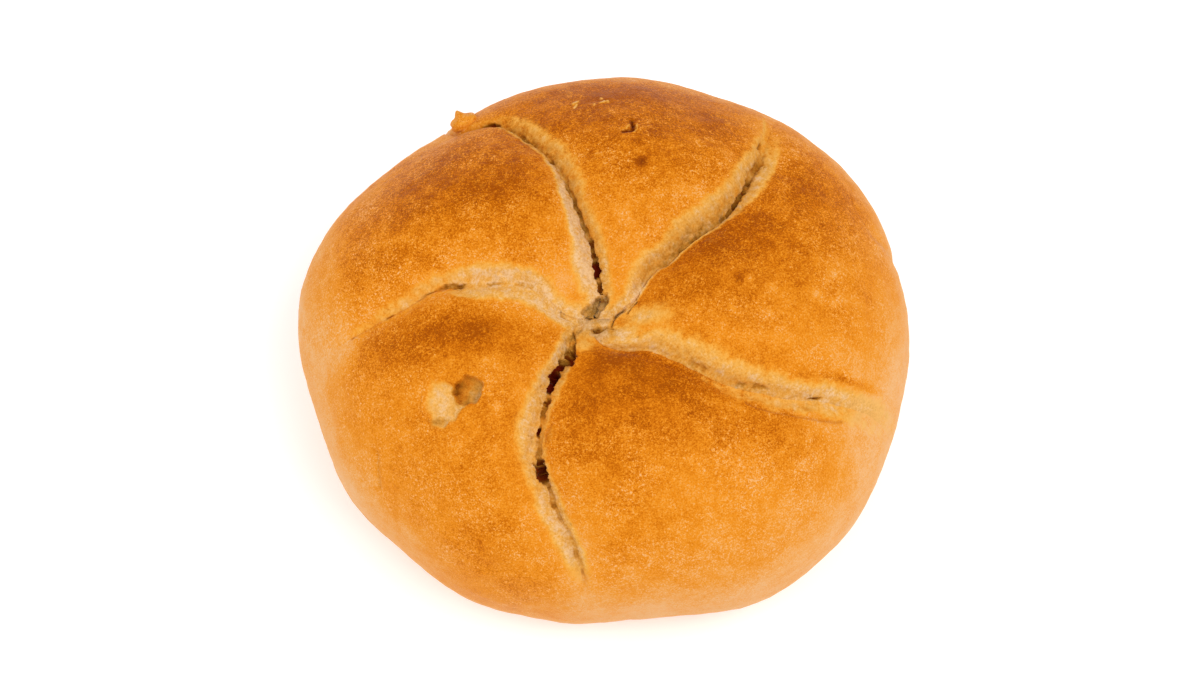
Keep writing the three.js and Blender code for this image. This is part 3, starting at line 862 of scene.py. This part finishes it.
# Heights at which the bake starts or stops to change
BAKE_HEIGHTS = {"foot": 2, "grooves": GIRTH_HEIGHT + 12, "crown": CROWN_HEIGHT - 8}
BAKE_MOTTLE = (0.06, 14, 3, 40)
BAKE_LEVELS = {"crown": 0.5, "girth": 0.12, "foot": 0.04, "base": 0.5, "least": 0.14}
# Where the crust is more or less flecked: x, y, half width, half depth, and how much
FLECKED_PATCHES = [
    (-42, 12, 14, 22, 0.2), (-28, -24, 14, 16, -0.05), (22, -22, 24, 14, 0.2), (-25, 25, 16, 12, 0.4),
    (5, 35, 26, 14, 0.3), (32, 18, 16, 14, 0.25), (6, -14, 14, 8, -0.2),
]
EDGE_WIDTH = 4.5  # how far over the crust the grooves change its bake


def edge_bake(fields):
    """How much more the crust next to the grooves is baked."""
    amounts = np.array([[groove[side]["edge_bake"] for side in SIDES] for groove in GROOVES.values()])
    groove = np.rint(fields["groove"]).astype(int)
    side = (fields["past"] > 0).astype(int)
    return amounts[groove, side] * bell(fields["past"], EDGE_WIDTH)


def browning(points, fields):
    """How far the crust is baked, with painted shade on the lower front rim: 0 pale, 1 dark brown."""
    height = points[:, 2]
    rise = smoothstep(height, GIRTH_HEIGHT, BAKE_HEIGHTS["crown"])
    crown = lerp(BAKE_LEVELS["girth"], BAKE_LEVELS["crown"], rise)
    rise = smoothstep(height, BAKE_HEIGHTS["foot"], GIRTH_HEIGHT)
    flank = lerp(BAKE_LEVELS["foot"], BAKE_LEVELS["girth"], rise)
    bake = np.where(height < GIRTH_HEIGHT, flank, crown)
    # The patches also paint shade on the lower front rim
    for *patch, amount in BROWN_AND_SHADE_PATCHES:
        bake = bake + amount * patch_at(points, *patch)
    bake = bake + smoothstep(height, GIRTH_HEIGHT, BAKE_HEIGHTS["grooves"]) * edge_bake(fields)
    bake = lerp(bake, BAKE_LEVELS["base"], fields["base"])
    return np.maximum(bake, BAKE_LEVELS["least"]) + layered(points, BAKE_MOTTLE)


def flecking(points):
    """How strongly the crust is flecked, 1 as a rule."""
    return 1 + sum(more * patch_at(points, *patch) for *patch, more in FLECKED_PATCHES)


class Graph:
    """Short calls for the nodes of one material."""

    def __init__(self, name):
        self.material = bpy.data.materials.new(name)
        self.material.use_nodes = True
        self.tree = self.material.node_tree
        self.shader = self.tree.nodes["Principled BSDF"]
        self.place = self.add("ShaderNodeTexCoord").outputs["Object"]

    def add(self, kind, inputs=(), **settings):
        node = self.tree.nodes.new(kind)
        for key, value in settings.items():
            setattr(node, key, value)
        for key, value in dict(inputs).items():
            self.put(node.inputs[key], value)
        return node

    def fill(self, values):
        """Sets or links inputs of the shader."""
        for key, value in values.items():
            self.put(self.shader.inputs[key], value)

    def put(self, socket, value):
        if isinstance(value, bpy.types.NodeSocket):
            self.tree.links.new(value, socket)
        else:
            socket.default_value = value

    def attribute(self, name):
        return self.add("ShaderNodeAttribute", attribute_name=name).outputs["Fac"]

    def noise(self, place, size, detail, roughness, distortion=0.0):
        inputs = {
            "Vector": place,
            "Scale": 1 / size,
            "Detail": detail,
            "Roughness": roughness,
            "Distortion": distortion,
        }
        return self.add("ShaderNodeTexNoise", inputs)

    def texture(self, name, output=0):
        size_mm, *others = TEXTURES[name]
        return self.noise(self.place, size_mm * MM, *others).outputs[output]

    def warped(self):
        """Places shifted by noise, so that what is drawn on them gets uneven edges."""
        inputs = {0: self.texture("warp", "Color"), 1: (WARP_REACH * MM,) * 3, 2: self.place}
        return self.add("ShaderNodeVectorMath", inputs, operation="MULTIPLY_ADD").outputs[0]

    def cells(self, size_mm, place):
        """Distance from the middle of scattered cells, and a number for each cell."""
        inputs = {"Vector": place, "Scale": 1 / (size_mm * MM)}
        node = self.add("ShaderNodeTexVoronoi", inputs)
        split = self.add("ShaderNodeSeparateColor", {0: node.outputs["Color"]})
        return node.outputs["Distance"], split.outputs[0]

    def math(self, operation, first, second=0.0):
        return self.add("ShaderNodeMath", {0: first, 1: second}, operation=operation).outputs[0]

    def times(self, first, second):
        return self.math("MULTIPLY", first, second)

    def total(self, first, *others):
        for other in others:
            first = self.math("ADD", first, other)
        return first

    def remap(self, value, low, high, to_low=0.0, to_high=1.0):
        inputs = {"Value": value, 1: low, 2: high, 3: to_low, 4: to_high}
        return self.add("ShaderNodeMapRange", inputs, interpolation_type="SMOOTHSTEP").outputs[0]

    def swing(self, value, amount):
        """Noise about a half, turned into plus or minus the amount."""
        return self.remap(value, *NOISE_SPAN, -amount, amount)

    def ramp(self, value, stops):
        node = self.add("ShaderNodeValToRGB", {"Fac": value})
        elements = node.color_ramp.elements
        while len(elements) < len(stops):
            elements.new(0.5)
        for element, (position, colour) in zip(elements, stops):
            element.position = position
            element.color = (*colour, 1)
        return node.outputs["Color"]

    def blend(self, part, first, second, mode="MIX"):
        inputs = {0: part, 6: first, 7: second}
        return self.add("ShaderNodeMix", inputs, data_type="RGBA", blend_type=mode).outputs[2]

    def bump(self, height, distance_mm, strength, below=None):
        inputs = {"Height": height, "Distance": distance_mm * MM, "Strength": strength}
        if below is not None:
            inputs["Normal"] = below
        return self.add("ShaderNodeBump", inputs).outputs["Normal"]


WHITE_LEVEL = 1.25  # how bright the studio's light makes a white surface


def linear(channel):
    part = channel / 255
    return part / 12.92 if part < 0.04045 else ((part + 0.055) / 1.055) ** 2.4


def tone(*screen):
    """Surface colour that the studio's light shows as this screen colour."""
    return tuple(linear(channel) / WHITE_LEVEL for channel in screen)


CRUST_TONES = [
    (0.0, tone(249, 194, 136)),
    (0.22, tone(248, 169, 78)),
    (0.35, tone(245, 154, 40)),
    (0.48, tone(239, 142, 24)),
    (0.75, tone(206, 108, 2)),
    (1.0, tone(168, 80, 0)),
]
FLECK_TONE = tone(251, 163, 42)
CRUMB_TONES = [
    (0.0, tone(246, 156, 36)),
    (0.45, tone(251, 173, 62)),
    (0.72, tone(251, 184, 86)),
    (0.88, tone(250, 192, 112)),
    (1.0, tone(249, 202, 146)),
]
# What the colour is multiplied by as the dark field rises: painted shade, and the dark marks
SHADE_TONES = [
    (0.0, (1, 1, 1)),
    (0.3, (0.7, 0.61, 0.45)),
    (0.6, (0.38, 0.32, 0.17)),
    (0.8, (0.26, 0.13, 0.05)),
    (1.0, (0.2, 0.03, 0.01)),
]

# Textures: size in millimetres, detail, roughness and distortion
TEXTURES = {
    "grain": (0.42, 3, 0.75, 1.2),
    "specks": (0.28, 1, 0.5),
    "mottle": (2.8, 3, 0.6),
    "clouds": (8, 3, 0.6),
    "patches": (7, 2, 0.5),
    "strokes": (1.5, 1.5, 0.5, 0.6),
    "breaks": (1.3, 1, 0.5),
    "crumb": (1.6, 5, 0.75),
    "pores": (0.4, 3, 0.7),
    "bumps": (0.4, 3, 0.6),
    "warp": (0.9, 2, 0.5),
}
WARP_REACH = 0.8
NOISE_SPAN = (0.3, 0.7)  # what most of a noise lies between
STREAKS = {"width": 0.75, "length": 1.5, "texture": (1, 3, 0.7, 1.2), "amount": 0.1, "end": (5, 7)}
# Dots in scattered cells: the cells' size in millimetres, the share that holds one, and its widest reach
FLECKS = [(0.8, 0.35, 0.4), (2.3, 0.2, 0.3)]
BLOTS = (2.9, 0.25, 0.26)
PORES = (1.0, 0.2, 0.35)
# How much each adds to the bake
BAKE_CHANGES = {"specks": 0.09, "flecks": -0.11, "blots": 0.16, "mottle": 0.065, "clouds": 0.06}
FLECK_PART = 0.15
CRUMB_CHANGES = {"crumb": 0.16, "grain": 0.07}
PORE_SHADES = {"dots": 0.22, "fine": 0.15, "streaks": -0.25}
BUMPS = {"fine": 0.12, "grain": 0.25, "strength": 0.5}  # heights in millimetres
CRUST_SHADER = {
    "Specular IOR Level": 0.03,
    "Sheen Weight": 0.14,
    "Sheen Roughness": 0.3,
    "Sheen Tint": (1, 0.84, 0.7, 1),
}


def scattered(graph, place, size_mm, share, widest):
    """Uneven dots: 1 in the middle of a share of the cells, 0 between them."""
    gap, kind = graph.cells(size_mm, place)
    size = graph.remap(kind, 1 - share, 1.0, 0.0, widest)
    return graph.remap(graph.math("SUBTRACT", size, gap), 0.0, 0.2)


def strokes(graph):
    """Short wavy strokes, 1 on them and 0 between."""
    off = graph.math("ABSOLUTE", graph.math("SUBTRACT", graph.texture("strokes"), 0.5))
    broken = graph.remap(graph.texture("breaks"), 0.45, 0.57)
    return graph.times(graph.remap(off, 0.0, 0.05, 1.0, 0.0), broken)


def streaks(graph):
    """Fine noise drawn out across the torn walls, which runs out on the crust."""
    past = graph.attribute("past")
    inputs = {
        0: graph.math("DIVIDE", graph.attribute("run"), STREAKS["width"]),
        1: graph.math("DIVIDE", past, STREAKS["length"]),
    }
    place = graph.add("ShaderNodeCombineXYZ", inputs).outputs[0]
    streak = graph.swing(graph.noise(place, *STREAKS["texture"]).outputs[0], STREAKS["amount"])
    return graph.times(streak, graph.remap(graph.math("ABSOLUTE", past), *STREAKS["end"], 1.0, 0.0))


def crust_colour(graph, bake, grain, warped):
    """Browned crust with its grain, pale flecks and mottling."""
    patchy = graph.remap(graph.texture("patches"), 0.35, 0.65, 0.7, 1.3)
    strength = graph.times(graph.attribute("flecked"), graph.remap(bake, 0.1, 0.6, 0.55, 1.25))
    flecks = graph.times(strokes(graph), 0.7)
    for layer in FLECKS:
        flecks = graph.math("MAXIMUM", flecks, scattered(graph, warped, *layer))
    flecks = graph.times(flecks, patchy)
    fine = graph.total(
        graph.times(graph.remap(grain, 0.42, 0.72, 0.09, -0.26), patchy),
        graph.swing(graph.texture("specks"), BAKE_CHANGES["specks"]),
        graph.times(flecks, BAKE_CHANGES["flecks"]),
        graph.times(scattered(graph, warped, *BLOTS), BAKE_CHANGES["blots"]),
        graph.swing(graph.texture("mottle"), BAKE_CHANGES["mottle"]),
        graph.swing(graph.texture("clouds"), BAKE_CHANGES["clouds"]),
    )
    crust = graph.ramp(graph.total(bake, graph.times(fine, strength)), CRUST_TONES)
    return graph.blend(graph.times(graph.times(flecks, strength), FLECK_PART), crust, (*FLECK_TONE, 1))


def torn_over(graph, crust, bake, crumb, grain, streak):
    """Crust with the torn walls' crumb over it, whiter where the crust is pale."""
    wave = graph.swing(graph.texture("crumb"), CRUMB_CHANGES["crumb"])
    change = graph.total(streak, wave, graph.swing(grain, CRUMB_CHANGES["grain"]))
    pale = graph.total(crumb, graph.times(change, graph.remap(crumb, 0.05, 0.35)))
    whiter = graph.remap(bake, 0.12, 0.4, 0.85, 0.0)
    torn = graph.ramp(graph.math("MAXIMUM", pale, whiter), CRUMB_TONES)
    return graph.blend(graph.remap(pale, 0.0, 0.7), crust, torn)


def shaded(graph, colour, crumb, warped, streak):
    """Colour darkened by the painted shade in the creases, holes and pits, by the dark marks and by the
    pores.
    """
    pores = graph.total(
        graph.times(scattered(graph, warped, *PORES), PORE_SHADES["dots"]),
        graph.remap(graph.texture("pores"), 0.32, 0.62, PORE_SHADES["fine"], 0.0),
        graph.times(streak, PORE_SHADES["streaks"]),
    )
    pores = graph.times(pores, graph.remap(crumb, 0.3, 0.8))
    shade = graph.ramp(graph.total(graph.attribute("dark"), pores), SHADE_TONES)
    return graph.blend(1.0, colour, shade, "MULTIPLY")


def crust_material():
    graph = Graph("crust")
    bake = graph.attribute("bake")
    crumb = graph.attribute("crumb")
    grain = graph.texture("grain")
    warped = graph.warped()
    streak = streaks(graph)

    colour = crust_colour(graph, bake, grain, warped)
    colour = torn_over(graph, colour, bake, crumb, grain, streak)
    colour = shaded(graph, colour, crumb, warped, streak)
    rough = graph.total(graph.remap(grain, 0.3, 0.7, 0.45, 0.62), graph.remap(crumb, 0.4, 0.8, 0.0, 0.3))
    fine = graph.bump(graph.texture("bumps"), BUMPS["fine"], BUMPS["strength"])
    normal = graph.bump(grain, BUMPS["grain"], BUMPS["strength"], fine)
    graph.fill({"Base Color": colour, "Roughness": rough, "Normal": normal, **CRUST_SHADER})
    return graph.material


SHADE_MOTTLE = (0.9, 0.9, 3, 17)
SHADE_RANGE = (0.4, 1.6)


def detail_and_shade(points, normals, fields):
    """Tones and relief of the torn walls, patches, pits, cracks, lines and crust, with their painted
    shade.
    """
    fields["fibre"] = fibres(fields)
    # Painted shade made uneven, and darker fibres across the torn walls
    fields["dark"] *= np.clip(1 + layered(points, SHADE_MOTTLE), *SHADE_RANGE)
    fields["dark"] += FIBRES["shade"] * fields["crumb"] * np.maximum(fields["fibre"], 0)
    fray(points, fields)
    tint_patches(points, fields)
    sink_pits(points, normals, fields)
    tear_cracks(points, normals, fields)
    draw_lines(points, normals, fields)
    roughen(points, normals, fields)


def onto_frame(points):
    """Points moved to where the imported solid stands."""
    middle = (points.min(axis=0) + points.max(axis=0)) / 2
    centre = (cad_low + cad_high) / 2 / MM
    rise = cad_low.z / MM - points[:, 2].min()
    return points + np.array([centre.x - middle[0], centre.y - middle[1], rise])


def roll_mesh():
    """The finished loaf, with the fields that its material reads."""
    points, fields = loaf_grid()
    mesh = grid_mesh("roll_crust", points, fields, strides(*row_falls()))
    refine(mesh)
    points = get_vectors(mesh.vertices, "co")
    normals = get_vectors(mesh.vertex_normals, "vector")
    fields = {key: get_field(mesh, key) for key in fields}
    detail_and_shade(points, normals, fields)
    for key in ("groove", "down", "fall", "base"):
        mesh.attributes.remove(mesh.attributes[key])
    fields["run"] = fields["down"] * OUTLINE_RADIUS
    fields["bake"] = browning(points, fields)
    fields["flecked"] = flecking(points)
    for key in ("run", "bake", "flecked", "crumb", "dark"):
        set_field(mesh, key, fields[key])
    mesh.vertices.foreach_set("co", (onto_frame(points) * MM).astype(np.float32).ravel())
    mesh.shade_smooth()
    mesh.update()
    return mesh


def add_object(name, data):
    """A new object in the scene."""
    thing = bpy.data.objects.new(name, data)
    bpy.context.scene.collection.objects.link(thing)
    return thing


def roll_piece(material):
    mesh = roll_mesh()
    mesh.materials.append(material)
    piece = add_object("roll_crust", mesh)
    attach(piece, "root")
    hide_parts("roll")
    return piece


# Studio
FLOOR_SIZE = 3.0
FLOOR_GAP = 0.0003  # keeps the floor clear of the flat underside
FLOOR_SHADER = {
    "Base Color": (0.9, 0.9, 0.9, 1),
    "Roughness": 0.9,
    "Emission Color": (1, 1, 1, 1),
    "Emission Strength": 0.22,
}
CAMERA = {"elevation": 69.0, "distance": 620.0, "target": (-0.63, 0.29, 22.0), "lens": 107.0}
WORLD_STRENGTH = 0.77
LIGHTS = [
    {"name": "key", "place": (0.55, -0.28, 1.2), "size": 0.8, "power": 8.4},
    {"name": "fill", "place": (-0.8, -0.1, 0.8), "size": 0.8, "power": 3.2},
]


def aim(thing, target):
    thing.rotation_euler = (Vector(target) - thing.location).to_track_quat("-Z", "Y").to_euler()


def lay_floor():
    half = FLOOR_SIZE / 2
    mesh = bpy.data.meshes.new("floor")
    corners = [(-half, -half), (half, -half), (half, half), (-half, half)]
    mesh.from_pydata([(x, y, cad_low.z - FLOOR_GAP) for x, y in corners], [], [(0, 1, 2, 3)])
    graph = Graph("floor")
    graph.fill(FLOOR_SHADER)
    mesh.materials.append(graph.material)
    floor = add_object("floor", mesh)


def light_studio():
    world = bpy.data.worlds.new("studio")
    world.use_nodes = True
    background = world.node_tree.nodes["Background"]
    background.inputs["Color"].default_value = (1, 1, 1, 1)
    background.inputs["Strength"].default_value = WORLD_STRENGTH
    bpy.context.scene.world = world
    middle = (0, 0, (cad_low.z + cad_high.z) / 2)
    for setup in LIGHTS:
        data = bpy.data.lights.new(setup["name"], "AREA")
        data.size = setup["size"]
        data.energy = setup["power"]
        light = add_object(setup["name"], data)
        light.location = setup["place"]
        aim(light, middle)


def set_camera():
    data = bpy.data.cameras.new("camera")
    data.lens = CAMERA["lens"]
    camera = add_object("camera", data)
    target = Vector(CAMERA["target"]) * MM
    rise = math.radians(CAMERA["elevation"])
    back = Vector((0, -math.cos(rise), math.sin(rise)))
    camera.location = target + back * CAMERA["distance"] * MM
    aim(camera, target)
    bpy.context.scene.camera = camera
    bpy.context.scene.view_settings.view_transform = "Standard"


roll_piece(crust_material())
lay_floor()
light_studio()
set_camera()
